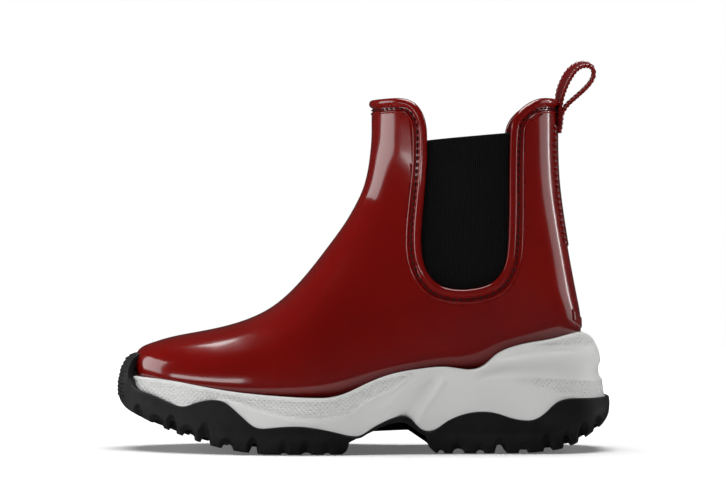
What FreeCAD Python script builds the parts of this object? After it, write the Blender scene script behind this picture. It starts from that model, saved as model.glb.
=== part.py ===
"""Left ankle rain boot: a glossy moulded upper with two elastic gores on a thick two-colour cleated sole.

Frame: +Z up, -X towards the toe, -Y the outer (lateral) side. The origin is on the ground, under the
middle of the boot's bounding box. Everything is in millimetres.
"""
import FreeCAD
import Part
import math
import os

V = FreeCAD.Vector

# ---- driving dimensions -------------------------------------------------------------------------
WALL = 2.6            # moulded upper, wall thickness
GLUE = 0.15           # free gap left between bonded or sewn layers
LINING = 0.9          # knitted lining, thickness
GORE = 1.5            # elastic gore panel, thickness
GORE_LAP = 8.0        # how far a gore runs under the edge of its opening
LINING_GAP = 0.6      # between the edges of the lining and a gore
OPEN_FROM = 170.0     # the lining leaves the sides open above this height
CLEAR = 1.2           # removable footbed: gap to the walls round it
FOAM = 4.0            # footbed foam, thickness
COVER = 0.8           # footbed cover cloth, thickness
GLUE_LINE = 0.05      # between the foam and its cover
SHAFT_TOP = 206.0     # height of the untrimmed shaft
SHAFT_MIDDLE = 58.2   # x of the shaft's axis
SHAFT_LENGTH = 106.5  # shaft, front to back
RIM_DROP = 1.2        # lining stops this far under the rim
SEAM_IN = 5.5         # seam, distance from the collar's edge
THREAD = 0.7          # thread thickness
STAND = 0.05          # gap under a stitch
STITCH_LONG = 2.5
STITCH_PITCH = 3.7
RIM_STITCHES = 6      # stitches each side of the middle, at the front and at the back of the rim
RIM_STITCH_ANGLE = 4.2
STRAP_STITCHES = 2    # stitches left out each side of the middle, behind the pull loop
TACK_PITCH = 3.2      # bar tack under the pull loop
TACK_DROP = 3.0       # its distance below the top of the backstay
BACKSTAY = 1.2        # backstay strip, thickness
BACKSTAY_HALF = 11.0  # its half width
BACKSTAY_SEAM = 2.0   # its stitches, distance from the edge
BACKSTAY_TOP = 187.6
HEEL_TAB = 1.4        # heel tab, thickness
HEEL_TAB_HALF = 15.0  # its half width
HEEL_TAB_LOW = 69.0
HEEL_TAB_TOP = 76.0
STRAP = 2.6           # pull loop, strap thickness
STRAP_HALF = 7.5      # strap, half width
ROOT_RADIUS = 1.6     # barrel at the root of the pull loop
SHANK = 1.4           # stiffener under the arch, thickness
SHANK_HALF = 10.0     # its half width
SOLE_WAIST = 26.0     # the midsole draws in above this height
SOLE_TOP = 75.0       # height of the untrimmed midsole
TAPER_X = -40.0       # the midsole draws in towards this x
MIDSOLE_DRAW = (0.963, 0.9)    # share of its length and width left at the top
RIM_SHARE = (0.94, 0.86)       # inner edge of the outsole's rim, as a share of the midsole's plan
CHANNEL_DEPTH = 5.5   # grooves along the tread
TREAD_MIDDLE = 15.0   # half width of the tread's middle row of lugs
LUG_REACH = 20.0      # longest lug
FOOTBED_TOE = -124.0  # front end of the footbed
FOOTBED_HEEL = 140.0  # its cutting limit at the back
HALF_SPAN = 80.0      # half width of a cutting solid
HALF_REACH = 150.0    # its half length
SPLIT = 5.0           # pieces of one side stop this far from the middle
DEPTH = -40.0         # low end of a cutting solid
UNDER = -5.0          # low end of a sole blank
TOE_SHARE = 1.2       # a layer starts this many insets behind the tip of the toe
LOW_STEPS = 5         # points on the low side of a half section
HIGH_STEPS = 8        # points on its high side
SECTIONS = 30         # sections of a loft over the last
OUT = "parts"


def cubic(knots, values):
    """Natural cubic spline through values at knots, as a function."""
    n = len(knots)
    h = [knots[i + 1] - knots[i] for i in range(n - 1)]
    a = [0.0] * n
    c = [0.0] * n
    for i in range(1, n - 1):
        rhs = 6 * ((values[i + 1] - values[i]) / h[i] - (values[i] - values[i - 1]) / h[i - 1])
        pivot = 2 * (h[i - 1] + h[i]) - h[i - 1] * a[i - 1]
        a[i] = h[i] / pivot
        c[i] = (rhs - h[i - 1] * c[i - 1]) / pivot
    m = [0.0] * n
    for i in range(n - 2, 0, -1):
        m[i] = c[i] - a[i] * m[i + 1]

    def at(t):
        i = max(k for k in range(n - 1) if knots[k] <= t or k == 0)
        p, q = knots[i + 1] - t, t - knots[i]
        return ((m[i] * p ** 3 + m[i + 1] * q ** 3) / (6 * h[i])
                + (values[i] / h[i] - m[i] * h[i] / 6) * p
                + (values[i + 1] / h[i] - m[i + 1] * h[i] / 6) * q)

    return at


# ---- the last: sections that fan round from the toe to the collar -------------------------------
# Each row is one section, in the plane that holds its low point, its high point and the Y direction:
# low x, low z, high x, high z, middle y, lateral half width, medial half width,
# share of the section's height where it is widest, flatness of the low side, fullness of the high side.
LAST = [
    (-131.5, 43.5, -132.4, 52.0, 9.0, 5.0, 5.0, 0.50, 2.0, 2.0),
    (-128.3, 38.5, -129.0, 57.0, 8.8, 14.5, 12.5, 0.44, 2.3, 2.1),
    (-122.0, 34.6, -122.3, 60.4, 8.0, 23.0, 19.5, 0.40, 2.6, 2.2),
    (-111.5, 31.0, -111.5, 63.7, 6.8, 31.0, 27.0, 0.36, 3.0, 2.3),
    (-95.0, 27.2, -95.0, 67.0, 5.2, 38.5, 35.0, 0.34, 3.2, 2.3),
    (-75.0, 24.2, -75.0, 71.5, 3.6, 43.6, 41.0, 0.32, 3.4, 2.3),
    (-52.0, 22.4, -53.0, 81.0, 2.2, 46.2, 44.2, 0.30, 3.4, 2.3),
    (-28.0, 22.6, -35.0, 97.3, 1.0, 45.8, 42.6, 0.28, 3.4, 2.3),
    (-2.0, 25.2, -21.2, 114.6, 0.4, 42.0, 38.0, 0.28, 3.2, 2.4),
    (28.0, 30.6, -11.0, 128.6, 0.0, 37.6, 34.4, 0.30, 3.0, 2.4),
    (60.0, 36.6, -4.2, 140.2, 0.0, 35.0, 33.4, 0.34, 2.8, 2.4),
    (90.0, 40.0, 0.0, 149.4, 0.0, 34.2, 33.4, 0.38, 2.6, 2.3),
    (110.0, 44.5, 2.0, 156.4, 0.0, 34.2, 33.8, 0.42, 2.4, 2.3),
    (121.0, 55.0, 3.2, 162.6, 0.0, 34.6, 34.4, 0.45, 2.2, 2.2),
    (125.2, 69.0, 4.0, 168.6, 0.0, 35.0, 35.0, 0.47, 2.1, 2.1),
    (123.2, 86.0, 4.6, 174.8, 0.0, 35.5, 35.5, 0.49, 2.0, 2.0),
    (118.8, 109.0, 4.9, 181.4, 0.0, 36.2, 36.2, 0.50, 2.0, 2.0),
    (114.7, 134.0, 4.9, 187.6, 0.0, 37.0, 37.0, 0.50, 2.0, 2.0),
    (112.2, 155.0, 4.9, 192.8, 0.0, 37.7, 37.7, 0.50, 2.0, 2.0),
    (111.4, 178.0, 4.9, 198.4, 0.0, 38.3, 38.3, 0.50, 2.0, 2.0),
    (111.4, SHAFT_TOP, 4.9, SHAFT_TOP, 0.0, 38.8, 38.8, 0.50, 2.0, 2.0),
]


def last_knots():
    """Distance along the boot of each row of LAST."""
    knots = [0.0]
    for a, b in zip(LAST, LAST[1:]):
        low = math.hypot(b[0] - a[0], b[1] - a[1])
        high = math.hypot(b[2] - a[2], b[3] - a[3])
        knots.append(knots[-1] + math.sqrt(low * low + high * high) / 1.414)
    return knots


KNOTS = last_knots()
ROW = [cubic(KNOTS, [row[k] for row in LAST]) for k in range(10)]


def half_profile(widest, flat, full):
    """Half of a section of height 1 and half width 1, as (height, width) pairs from low to high."""
    pairs = []
    for k in range(LOW_STEPS):
        turn = math.pi / 2 * (k / LOW_STEPS) ** (flat / 2)
        pairs.append((widest * (1 - math.cos(turn)), math.sin(turn) ** (2 / flat)))
    for k in range(HIGH_STEPS + 1):
        turn = math.pi / 2 * k / HIGH_STEPS
        pairs.append((widest + (1 - widest) * math.sin(turn) ** (2 / full), math.cos(turn)))
    return pairs


def section(t, inset):
    """The lateral and medial halves of the section at distance t, moved inwards by inset."""
    bx, bz, tx, tz, mid, lat, med, widest, flat, full = (f(t) for f in ROW)
    tall = math.hypot(tx - bx, tz - bz)
    ux, uz = (tx - bx) / tall, (tz - bz) / tall
    halves = []
    for sign, half in ((-1, lat), (1, med)):
        points = []
        for height, width in half_profile(widest, flat, full):
            along = inset + height * (tall - 2 * inset)
            points.append(V(bx + ux * along, mid + sign * (half - inset) * width, bz + uz * along))
        halves.append(points)
    return halves


def shared_parameters():
    """One set of spline parameters for every half section: the mean of their chord lengths."""
    total = [0.0] * (LOW_STEPS + HIGH_STEPS + 1)
    for t in KNOTS[1:]:
        for points in section(t, 0.0):
            run = [0.0]
            for a, b in zip(points, points[1:]):
                run.append(run[-1] + a.distanceToPoint(b))
            total = [x + y / run[-1] for x, y in zip(total, run)]
    return [x / total[-1] for x in total]


PARAMETERS = shared_parameters()


def half_edge(points, sign):
    """A half section as one spline edge, square to the middle plane at both ends."""
    first = points[0].distanceToPoint(points[1]) / (PARAMETERS[1] - PARAMETERS[0])
    last = points[-1].distanceToPoint(points[-2]) / (PARAMETERS[-1] - PARAMETERS[-2])
    curve = Part.BSplineCurve()
    curve.interpolate(Points=points, Parameters=PARAMETERS,
                      InitialTangent=V(0, sign * first, 0), FinalTangent=V(0, -sign * last, 0), Scale=False)
    return curve.toShape()


def last_solid(inset):
    """The solid inside the last moved inwards by inset, or outwards where inset is negative."""
    start = TOE_SHARE * inset
    wires = []
    for k in range(SECTIONS + 1):
        t = start + (KNOTS[-1] - start) * (k / SECTIONS) ** 1.25
        lateral, medial = section(t, inset)
        edges = [half_edge(lateral, -1), half_edge(medial, 1)]
        wires.append(Part.Wire(Part.__sortEdges__(edges)))
    return Part.makeLoft(wires, True, False)


def skin(outside, inside):
    """The layer of the last between two insets."""
    return last_solid(outside).cut(last_solid(inside))


# ---- curves drawn in the side view ---------------------------------------------------------------
def through(points, y=-HALF_SPAN):
    """One edge through (x, z) points: a line through two of them, a spline through more."""
    places = [V(x, y, z) for x, z in points]
    if len(places) == 2:
        return Part.makeLine(*places)
    curve = Part.BSplineCurve()
    curve.interpolate(Points=places)
    return curve.toShape()


def across(wire, low_y=-HALF_SPAN, high_y=HALF_SPAN):
    """The solid that a closed side-view outline cuts out of the boot between two widths."""
    face = Part.Face(wire)
    face.translate(V(0, low_y + HALF_SPAN, 0))
    return face.extrude(V(0, high_y - low_y, 0))


def below(*curves):
    """Everything under a chain of side-view curves, each of which starts where the last one ended."""
    first, last = curves[0][0], curves[-1][-1]
    corners = [last, (last[0], DEPTH), (first[0], DEPTH), first]
    edges = [through(points) for points in curves]
    edges += [through(pair) for pair in zip(corners, corners[1:])]
    return across(Part.Wire(edges))


def beside(points, distance):
    """A side-view curve moved sideways: outwards from an opening that it runs round clockwise."""
    moved = []
    for k, (x, z) in enumerate(points):
        ax, az = points[max(k - 1, 0)]
        bx, bz = points[min(k + 1, len(points) - 1)]
        run = math.hypot(bx - ax, bz - az)
        moved.append((x + distance * (bz - az) / run, z - distance * (bx - ax) / run))
    return moved


def raised(points, rise):
    return [(x, z + rise) for x, z in points]


def box(low, high):
    return Part.makeBox(high[0] - low[0], high[1] - low[1], high[2] - low[2], V(*low))


# The collar's trim, from its front over the front quarter, round the gore opening and over the back.
FRONT_RIM = [(-10.0, 199.2), (5.0, 199.2), (20.0, 199.3), (26.7, 197.6), (31.2, 193.3), (34.0, 187.1),
             (35.1, 176.5)]
GORE_OPENING = [(35.1, 176.5), (33.4, 142.2), (32.0, 122.5), (32.9, 109.6), (36.8, 99.5), (43.5, 93.6),
                (52.0, 91.4), (63.2, 91.9), (72.8, 95.0), (78.9, 101.2), (82.0, 111.3), (82.9, 122.5),
                (83.4, 153.4), (84.0, 178.7)]
REAR_RIM = [(84.0, 178.7), (85.1, 186.0), (89.0, 192.2), (94.7, 196.7), (101.4, 199.4), (108.0, 199.8),
            (125.0, 199.8)]
TRIM = ([(-150.0, 199.2), (-10.0, 199.2)], FRONT_RIM + GORE_OPENING[1:] + REAR_RIM[1:])

# The line where the upper sinks into the midsole, toe to heel.
JOINT_LINE = [(-150.0, 43.2), (-132.0, 42.1), (-110.6, 40.5), (-91.0, 37.4), (-68.6, 34.3), (-46.2, 32.4),
              (-29.4, 31.5), (-18.2, 31.8), (-9.8, 34.0), (1.4, 39.1), (15.4, 44.4), (32.2, 47.5),
              (49.0, 48.3), (64.1, 47.5), (68.6, 49.7), (74.2, 54.8), (82.6, 59.2), (93.8, 62.0),
              (107.8, 64.3), (119.0, 67.0), (125.6, 67.4), (129.7, 65.2), (133.7, 59.4), (140.0, 46.0)]

# Top of the outsole: up and over the toe bumper, then the wave along the midsole.
BUMPER = [(-141.5, 38.0), (-139.5, 46.0), (-136.6, 51.8), (-132.8, 54.8)]
BUMPER_BACK = [(-131.4, 54.6), (-133.0, 49.0), (-134.4, 44.0), (-134.2, 40.4), (-131.6, 35.9),
               (-125.0, 33.3)]
WAVE = [(-125.0, 33.3), (-116.1, 30.4), (-105.8, 26.6), (-101.5, 26.0), (-97.5, 27.1), (-89.3, 29.6),
        (-84.0, 30.1), (-78.5, 29.2), (-74.1, 26.3), (-65.4, 18.7), (-60.3, 15.2), (-51.0, 14.9),
        (-34.0, 15.6), (-21.5, 13.8), (-12.4, 11.7), (-5.0, 10.3), (-1.5, 10.6), (3.0, 13.2), (10.5, 17.5),
        (18.0, 20.6), (22.8, 21.4), (26.0, 20.3), (29.8, 16.6), (34.0, 13.3), (38.3, 12.9), (42.6, 14.9),
        (46.9, 17.9), (54.5, 21.4), (60.9, 23.0), (67.3, 23.5), (74.8, 22.6), (82.4, 20.2), (89.9, 18.7),
        (95.3, 18.9), (99.5, 20.7), (103.8, 24.2), (108.7, 28.4), (113.5, 30.3), (121.5, 30.8),
        (130.0, 30.6), (150.0, 31.4)]
OUTSOLE_TOP = ([(-150.0, 38.0), (-141.5, 38.0)], BUMPER, [(-132.8, 54.8), (-131.4, 54.6)], BUMPER_BACK, WAVE)

# Inside its rim the outsole is a thinner sheet, and the midsole fills it down to these curves.
OUTSOLE_CORE = ([(-150.0, 46.0), (-128.0, 30.0), (-105.0, 19.0), (-80.0, 12.5), (-57.0, 10.5),
                 (-16.0, 10.5)],
                [(-16.0, 10.5), (-10.0, 25.0)],
                [(-10.0, 25.0), (36.0, 25.0)],
                [(36.0, 25.0), (44.0, 10.5)],
                [(44.0, 10.5), (80.0, 10.5), (104.0, 12.5), (120.0, 18.5), (132.0, 27.0), (150.0, 42.0)])

# Underside of the outsole: rolled toe, flat tread, arch recess, heel breast, flat heel, bevelled heel.
OUTSOLE_BOTTOM = (
    [(-150.0, 33.5), (-141.2, 33.5)],
    [(-141.2, 33.5), (-140.9, 29.5), (-138.4, 25.6), (-129.3, 20.2), (-121.7, 16.9), (-104.7, 10.3),
     (-88.1, 5.1), (-71.9, 1.8), (-55.0, 0.0)],
    [(-55.0, 0.0), (-12.0, 0.0)],
    [(-12.0, 0.0), (-9.6, 1.6), (-7.8, 6.6)],
    [(-7.8, 6.6), (-2.4, 9.2), (4.0, 12.0), (10.5, 15.0), (18.0, 17.2), (22.8, 17.4), (29.8, 13.1),
     (35.5, 9.6)],
    [(35.5, 9.6), (37.0, 4.1), (41.5, 0.0)],
    [(41.5, 0.0), (88.2, 0.0)],
    [(88.2, 0.0), (101.0, 0.9), (112.0, 2.6), (121.4, 6.0), (130.0, 11.3), (137.6, 16.4), (141.2, 21.5)],
    [(141.2, 21.5), (150.0, 21.5)],
)

# Plan outlines as (x, y), closed, starting at the tip of the toe and running round the outer side first.
MIDSOLE_PLAN = [(-136.4, 9.0), (-133.4, -5.0), (-121.0, -20.4), (-103.0, -32.5), (-80.0, -43.0),
                (-52.0, -50.0), (-28.0, -51.5), (0.0, -48.0), (30.0, -42.5), (60.0, -40.0), (90.0, -40.0),
                (112.0, -38.5), (128.0, -30.0), (137.0, -16.0), (139.8, 0.0), (137.0, 16.5), (128.0, 30.5),
                (112.0, 38.5), (90.0, 40.0), (60.0, 38.0), (30.0, 36.5), (0.0, 40.5), (-28.0, 48.0),
                (-56.0, 51.5), (-80.0, 49.5), (-103.0, 43.0), (-121.0, 34.4), (-133.4, 22.0)]
OUTSOLE_PLAN = [(-141.2, 9.0), (-138.0, -3.5), (-121.5, -21.5), (-103.4, -33.4)] \
    + [(x * 1.009, y * 1.017) for x, y in MIDSOLE_PLAN[4:-3]] \
    + [(-103.4, 44.0), (-121.5, 35.5), (-138.0, 21.5)]

# Gaps between the lugs: x and z of the mouth, width, depth, lean of the gap in degrees.
LUG_GAPS = [(-127.6, 19.4, 2.6, 5.0, 27), (-115.6, 14.2, 3.4, 6.0, 24), (-107.5, 11.3, 2.8, 7.5, 20),
            (-97.8, 7.9, 3.6, 7.5, 16), (-87.6, 5.0, 3.8, 8.0, 12), (-75.8, 2.3, 3.4, 7.0, 7),
            (-61.1, 0.4, 4.4, 8.0, 2), (-44.0, 0.0, 2.6, 5.5, 0), (-31.4, 0.0, 3.4, 7.0, 0),
            (-19.9, 0.0, 2.6, 5.0, 0), (46.5, 0.0, 2.4, 4.0, 0), (54.6, 0.0, 4.0, 5.5, 0),
            (66.6, 0.0, 3.0, 4.5, 0), (77.4, 0.0, 5.2, 6.5, 0), (90.2, 0.1, 3.6, 5.0, -3),
            (103.9, 1.3, 3.6, 7.0, -9), (114.0, 3.1, 3.0, 7.0, -18), (122.6, 6.6, 2.8, 6.5, -27),
            (131.3, 12.2, 2.6, 5.5, -35)]
OPEN_GAPS = (-61.1, 54.6, 77.4)                   # x of the gaps that run right across
TREAD_CHANNELS = [(-17.0, 4.0), (17.0, 4.0)]     # grooves along the sole: middle y, width
CHANNEL_RUNS = ((-112.0, -14.0), (49.0, 118.0))   # their ends, under the forefoot and under the heel

# The pull loop's strap: its two strands from the root to where they meet at the top, as (x, z).
LOOP_FRONT = [(113.4, 190.5), (113.7, 196.0), (115.0, 202.0), (117.3, 208.5), (121.0, 215.2),
              (126.2, 219.8), (129.4, 220.6)]
LOOP_BACK = [(129.4, 220.6), (132.0, 219.4), (133.0, 215.8), (130.6, 210.6), (125.8, 205.3), (120.2, 199.7),
             (116.4, 195.1), (113.4, 190.5)]
SHANK_LINE = [(-25.0, 16.5), (0.0, 19.0), (24.0, 24.4), (45.0, 25.0), (62.0, 28.0)]


# ---- upper ---------------------------------------------------------------------------------------
def upper_shell():
    """Moulded bootie, closed underneath, trimmed to the collar and open at both gores."""
    return skin(0.0, WALL).common(below(*TRIM))


def gore_window(distance):
    """Side-view solid of the gore opening grown by distance, its top edge sloping up to the back."""
    edge = beside(GORE_OPENING, distance)
    return across(Part.Wire([through(edge), through([edge[-1], edge[0]])]))


def lining_sock():
    """Knitted lining against the inside of the shell, cut away round both gores."""
    outside = WALL + GLUE
    sock = skin(outside, outside + LINING)
    kept = below(*[raised(points, -RIM_DROP) for points in TRIM])
    return sock.common(kept).cut([gore_window(GORE_LAP + LINING_GAP), above_gores()])


def above_gores():
    """The gap between the two quarters over the gores, where there is no lining."""
    low_x, high_x = GORE_OPENING[0][0] - GORE_LAP, GORE_OPENING[-1][0] + GORE_LAP
    return box((low_x, -HALF_SPAN, OPEN_FROM), (high_x, HALF_SPAN, 2 * SHAFT_TOP))


def gore(side):
    """One elastic gore, lying inside the shell and running under the edge of its opening."""
    outside = WALL + GLUE
    panel = skin(outside, outside + GORE).common(gore_window(GORE_LAP))
    return panel.common(half_space(side))


def half_space(side):
    """Everything on one side of the boot, clear of its middle."""
    low = -HALF_SPAN if side < 0 else SPLIT
    return box((-HALF_REACH, low, DEPTH), (HALF_REACH, low + HALF_SPAN - SPLIT, 2 * SHAFT_TOP))


# ---- thread --------------------------------------------------------------------------------------
def walk(points, pitch):
    """Places at an even pitch along a side-view curve, as (x, z, slope in degrees)."""
    curve = through(points)
    count = int(curve.Length / pitch)
    for k in range(count):
        at = curve.getParameterByLength(pitch * (k + 0.5))
        place, run = curve.valueAt(at), curve.tangentAt(at)
        yield place.x, place.z, math.degrees(math.atan2(run.z, run.x))


def stitch_row(points, side):
    """Stitches standing on the shell along a side-view curve, on one side of the boot."""
    bars = []
    for x, z, slope in walk(points, STITCH_PITCH):
        bar = box((-STITCH_LONG / 2, 0, -THREAD / 2), (STITCH_LONG / 2, HALF_SPAN - SPLIT, THREAD / 2))
        bar.rotate(V(0, 0, 0), V(0, 1, 0), -slope)
        bar.translate(V(x, -HALF_SPAN if side < 0 else SPLIT, z))
        bars.append(bar)
    return skin(-THREAD - STAND, -STAND).common(Part.makeCompound(bars))


def gore_stitching(side):
    """The seam that holds one gore, and runs on over both quarters of the collar."""
    seam = beside(FRONT_RIM[2:] + GORE_OPENING[1:] + REAR_RIM[1:5], SEAM_IN)
    return stitch_row(seam, side)


def collar_stitching():
    """The same seam round the front and the back of the collar, where the rim is level."""
    bars = []
    reach = SHAFT_LENGTH / 2
    for turn, height in ((180.0, FRONT_RIM[1][1]), (0.0, REAR_RIM[-1][1])):
        z = height - SEAM_IN
        for k in range(-RIM_STITCHES, RIM_STITCHES + 1):
            low, high = (reach / 2, -STITCH_LONG / 2, z - THREAD / 2), (2 * reach, STITCH_LONG / 2, z + THREAD / 2)
            bar = box(low, high)
            bar.rotate(V(0, 0, 0), V(0, 0, 1), turn + k * RIM_STITCH_ANGLE)
            bar.translate(V(SHAFT_MIDDLE, 0, 0))
            if turn == 180.0 or abs(k) > STRAP_STITCHES:
                bars.append(bar)
    return skin(-THREAD - STAND, -STAND).common(Part.makeCompound(bars))


# ---- backstay and heel tab -----------------------------------------------------------------------
def back_patch(thickness, half_width, low_z, high_z):
    """A strip bonded on the back of the shaft."""
    slab = box((SHAFT_MIDDLE, -half_width, low_z), (HALF_REACH, half_width, high_z))
    return skin(-GLUE - thickness, -GLUE).common(slab)


def backstay_strip():
    return back_patch(BACKSTAY, BACKSTAY_HALF, HEEL_TAB_TOP + GLUE, BACKSTAY_TOP)


def heel_tab():
    """Thicker kick tab at the foot of the backstay."""
    return back_patch(HEEL_TAB, HEEL_TAB_HALF, HEEL_TAB_LOW, HEEL_TAB_TOP)


def back_bar(y, z, wide, tall):
    """A bar that runs out through the back of the shaft."""
    return box((SHAFT_MIDDLE, y - wide / 2, z - tall / 2), (HALF_REACH, y + wide / 2, z + tall / 2))


def backstay_stitching():
    """Thread along both edges of the backstay, and a bar tack under the pull loop."""
    bars = []
    middle = (BACKSTAY_TOP + HEEL_TAB_TOP) / 2
    half_count = int((BACKSTAY_TOP - HEEL_TAB_TOP) / STITCH_PITCH / 2) - 1
    seam = BACKSTAY_HALF - BACKSTAY_SEAM
    for k in range(-half_count, half_count + 1):
        z = middle + k * STITCH_PITCH
        for y in (-seam, seam):
            bars.append(back_bar(y, z, THREAD, STITCH_LONG))
    for k in range(-2, 3):
        bars.append(back_bar(k * TACK_PITCH, BACKSTAY_TOP - TACK_DROP, STITCH_LONG, THREAD))
    outside = -GLUE - BACKSTAY - STAND
    return skin(outside - THREAD, outside).common(Part.makeCompound(bars))


# ---- pull loop -----------------------------------------------------------------------------------
def strand(points):
    """One strand of the strap, as wide as the strap all along."""
    left, right = beside(points, STRAP / 2), beside(points, -STRAP / 2)
    outline = [through(left), through([left[-1], right[-1]]), through(right), through([right[0], left[0]])]
    return across(Part.Wire(Part.__sortEdges__(outline)), -STRAP_HALF, STRAP_HALF)


def pull_loop():
    """Strap folded into a teardrop; its root is the barrel that the loop swings about."""
    x, z = LOOP_FRONT[0]
    root = Part.makeCylinder(ROOT_RADIUS, 2 * STRAP_HALF, V(x, -STRAP_HALF, z), V(0, 1, 0))
    return strand(LOOP_FRONT).fuse([strand(LOOP_BACK), root]).removeSplitter()


# ---- sole ----------------------------------------------------------------------------------------
def plan_wire(points, z):
    curve = Part.BSplineCurve()
    curve.interpolate(Points=[V(x, y, z) for x, y in points], PeriodicFlag=True)
    return Part.Wire(curve.toShape())


def tapered(points, top_share):
    """Solid over a plan outline: straight to the height of the waist, then drawing in to the top."""
    top = [(TAPER_X + (x - TAPER_X) * top_share[0], y * top_share[1]) for x, y in points]
    foot = Part.Face(plan_wire(points, UNDER)).extrude(V(0, 0, SOLE_WAIST - UNDER))
    head = Part.makeLoft([plan_wire(points, SOLE_WAIST), plan_wire(top, SOLE_TOP)], True, True)
    return foot.fuse(head)


def shank_plate(gap):
    """Stiffener under the arch, grown by gap all round."""
    low, high = raised(SHANK_LINE, -gap), raised(SHANK_LINE, SHANK + gap)
    ends = [[low[-1], high[-1]], [high[0], low[0]]]
    outline = [through(low), through(ends[0]), through(high), through(ends[1])]
    return across(Part.Wire(Part.__sortEdges__(outline)), -SHANK_HALF - gap, SHANK_HALF + gap)


def outsole_space():
    """Everything under the outsole's top: the wave at its rim, and the lower core inside the rim."""
    inner = [(x * RIM_SHARE[0], y * RIM_SHARE[1]) for x, y in MIDSOLE_PLAN]
    core = Part.Face(plan_wire(inner, DEPTH)).extrude(V(0, 0, 2 * SOLE_TOP)).cut(below(*OUTSOLE_CORE))
    return below(*OUTSOLE_TOP).cut(core)


def midsole():
    """White foam cup between the outsole and the joint line, hollowed for the upper."""
    block = tapered(MIDSOLE_PLAN, MIDSOLE_DRAW).common(below(JOINT_LINE))
    return block.cut([outsole_space(), last_solid(-GLUE), shank_plate(GLUE)])


def lug_gap(x, z, width, depth, lean, low_y, high_y):
    """Channel across the tread between two widths, square to the tread's surface at its mouth."""
    gap = box((-width / 2, low_y, UNDER), (width / 2, high_y, depth))
    gap.rotate(V(0, 0, 0), V(0, 1, 0), lean)
    gap.translate(V(x, 0, z))
    return gap


def lug_gaps():
    """Gaps in from both sides of the tread, and gaps across its middle half a lug further on."""
    gaps = []
    for row in LUG_GAPS:
        gaps.append(lug_gap(*row, -HALF_SPAN, -TREAD_MIDDLE))
        gaps.append(lug_gap(*row, TREAD_MIDDLE, HALF_SPAN))
    for here, after in zip(LUG_GAPS, LUG_GAPS[1:]):
        if here[0] in OPEN_GAPS:
            gaps.append(lug_gap(*here, -HALF_SPAN, HALF_SPAN))
        elif after[0] - here[0] < LUG_REACH:
            middle = [(a + b) / 2 for a, b in zip(here, after)]
            gaps.append(lug_gap(*middle, -TREAD_MIDDLE, TREAD_MIDDLE))
    return gaps


def tread_channels():
    """Grooves along the forefoot and the heel, following the tread a lug's height above it."""
    lifted = [raised(points, CHANNEL_DEPTH) for points in OUTSOLE_BOTTOM]
    space = below(*lifted)
    cuts = []
    for y, width in TREAD_CHANNELS:
        for low, high in CHANNEL_RUNS:
            cuts.append(space.common(box((low, y - width / 2, UNDER), (high, y + width / 2, SOLE_TOP))))
    return cuts


def outsole():
    """Black outsole: wave-edged cup with lugs, an arch recess and a bumper over the toe."""
    block = Part.Face(plan_wire(OUTSOLE_PLAN, UNDER)).extrude(V(0, 0, SOLE_TOP))
    slab = block.common(outsole_space()).cut([below(*OUTSOLE_BOTTOM), last_solid(-GLUE)])
    return slab.cut(lug_gaps() + tread_channels())


# ---- footbed -------------------------------------------------------------------------------------
def footbed_layer(low_rise, high_rise):
    """The part of the boot's inside between two heights over its floor."""
    inset = WALL + GLUE + LINING + CLEAR
    floor = [(row[0], row[1] + inset) for row in LAST[2:13]] + [(130.0, LAST[12][1] + inset + 1.0)]
    layer = last_solid(inset).common(below(raised(floor, high_rise)))
    if low_rise > 0:
        layer = layer.cut(below(raised(floor, low_rise)))
    return layer.common(box((FOOTBED_TOE, -HALF_SPAN, 0.0), (FOOTBED_HEEL, HALF_SPAN, 2 * SOLE_TOP)))


PARTS = {
    "upper_shell": upper_shell,
    "lining_sock": lining_sock,
    "gore_lateral": lambda: gore(-1),
    "gore_medial": lambda: gore(1),
    "gore_stitching_lateral": lambda: gore_stitching(-1),
    "gore_stitching_medial": lambda: gore_stitching(1),
    "collar_stitching": collar_stitching,
    "backstay_strip": backstay_strip,
    "heel_tab": heel_tab,
    "backstay_stitching": backstay_stitching,
    "pull_loop": pull_loop,
    "midsole": midsole,
    "outsole": outsole,
    "arch_shank": lambda: shank_plate(0.0),
    "footbed_foam": lambda: footbed_layer(0.0, FOAM),
    "footbed_cover": lambda: footbed_layer(FOAM + GLUE_LINE, FOAM + GLUE_LINE + COVER),
}

if __name__ == "__main__":
    os.makedirs(OUT, exist_ok=True)
    for name, make in PARTS.items():
        shape = make()
        solids = len(shape.Solids)
        print(f"{name}: {solids} solids, {shape.Volume / 1000:.2f} cm3, valid {shape.isValid()}")
        shape.exportStep(os.path.join(OUT, f"{name}.step"))
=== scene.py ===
"""Left ankle rain boot: glossy red moulded upper, black elastic gores, white midsole, black lugged sole."""
import math

import bmesh
import bpy
import numpy as np
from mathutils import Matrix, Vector


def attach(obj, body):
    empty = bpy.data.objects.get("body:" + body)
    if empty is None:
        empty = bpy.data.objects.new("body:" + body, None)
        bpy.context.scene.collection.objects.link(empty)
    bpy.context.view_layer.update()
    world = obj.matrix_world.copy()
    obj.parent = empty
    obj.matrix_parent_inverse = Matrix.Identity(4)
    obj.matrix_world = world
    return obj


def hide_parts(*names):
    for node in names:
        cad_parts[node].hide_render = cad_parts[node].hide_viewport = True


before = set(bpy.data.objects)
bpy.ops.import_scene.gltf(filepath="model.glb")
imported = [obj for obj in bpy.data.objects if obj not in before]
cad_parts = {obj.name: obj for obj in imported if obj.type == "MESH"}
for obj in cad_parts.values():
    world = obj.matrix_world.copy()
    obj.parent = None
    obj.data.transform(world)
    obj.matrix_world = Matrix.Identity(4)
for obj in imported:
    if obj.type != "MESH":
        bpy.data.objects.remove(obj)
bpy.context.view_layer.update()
MM = 0.001
SHAFT_TOP = 206.0
WALL = 2.6
TURN = 2 * math.pi

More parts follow.
